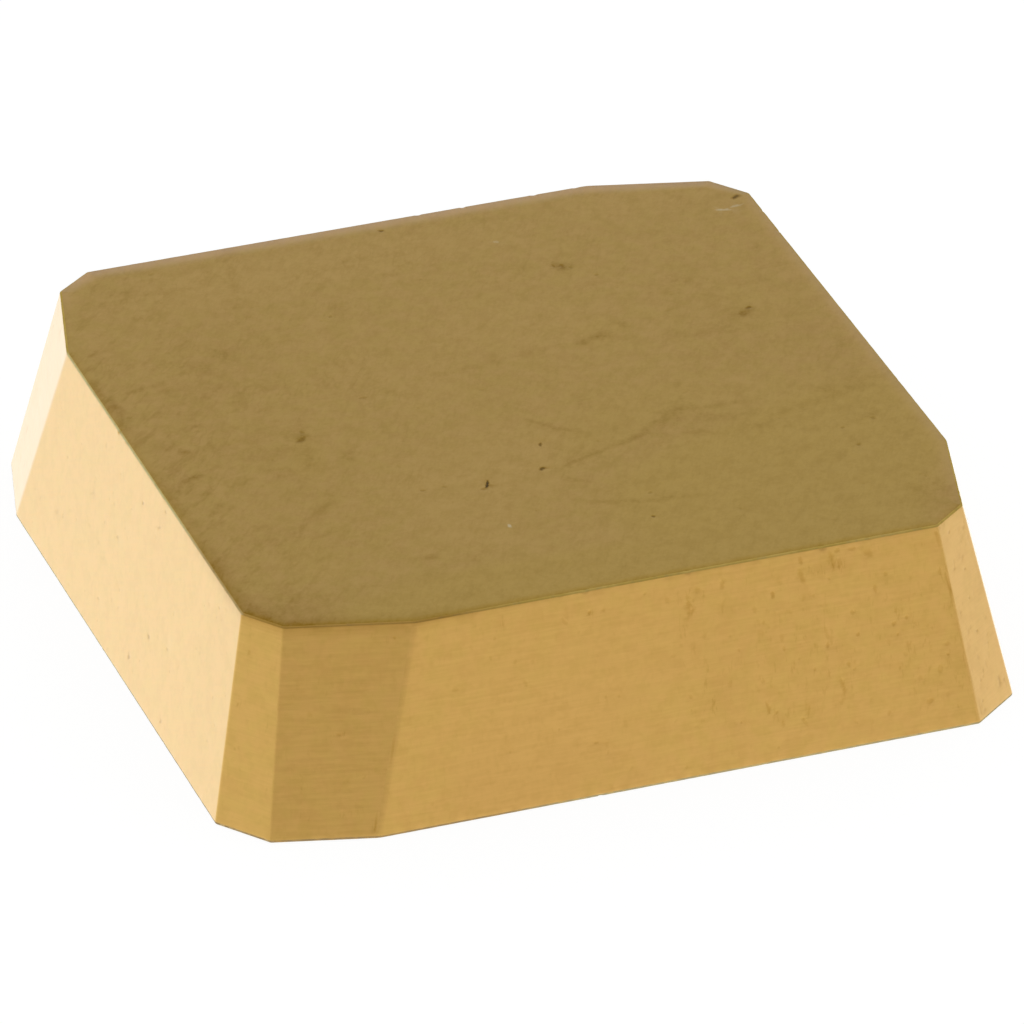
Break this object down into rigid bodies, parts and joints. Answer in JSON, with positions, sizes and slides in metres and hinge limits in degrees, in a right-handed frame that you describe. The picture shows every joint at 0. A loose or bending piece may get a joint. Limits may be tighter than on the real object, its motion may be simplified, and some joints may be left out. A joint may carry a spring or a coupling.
{
  "type": "square milling insert",
  "caption": "Square face-milling insert without a hole: flat faces, sloping relief flanks, a wiper land and a corner facet at each corner, gold titanium-nitride coating.",
  "frame": {"origin": "centre of the cutting face, the larger of the two flat faces, on the surface that the insert rests on", "axes": "+Z from the cutting face to the smaller seating face; X and Y square to the long flanks, so that each side of the square runs along X or Y"},
  "size_m": [0.0126, 0.0126, 0.0032],
  "materials": {
    "nitride_coating": "satin gold titanium-nitride coating over ground flanks, duller olive-gold on the lapped seating face"
  },
  "bodies": {
    "root": {"milling_insert": "nitride_coating"}
  },
  "joints": []
}
